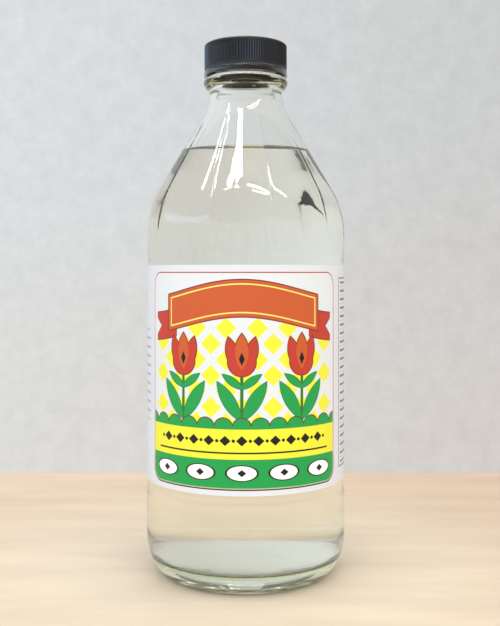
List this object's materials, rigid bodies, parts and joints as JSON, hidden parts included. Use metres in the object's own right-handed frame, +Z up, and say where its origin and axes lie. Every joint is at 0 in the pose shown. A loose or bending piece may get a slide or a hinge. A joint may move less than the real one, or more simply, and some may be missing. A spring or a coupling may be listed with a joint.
{
  "type": "vinegar bottle",
  "caption": "Round clear glass bottle of pale vinegar with a softly fluted sloping shoulder, short neck, wrap-round paper label and black ribbed screw cap.",
  "frame": {"origin": "middle of the ring that the bottle stands on", "axes": "+Z up along the bottle's axis, -Y towards the front of the label"},
  "size_m": [0.0718, 0.0718, 0.191],
  "materials": {
    "clear_glass": "clear flint glass with a faint green cast in thick places, polished",
    "vinegar": "clear, very pale straw-coloured liquid",
    "label_paper": "white coated paper with a printed front panel, satin",
    "cap_plastic": "black moulded plastic with fine upright ribs, satin"
  },
  "bodies": {
    "root": {"bottle": "clear_glass", "vinegar": "vinegar", "label": "label_paper", "cap": "cap_plastic"}
  },
  "joints": []
}
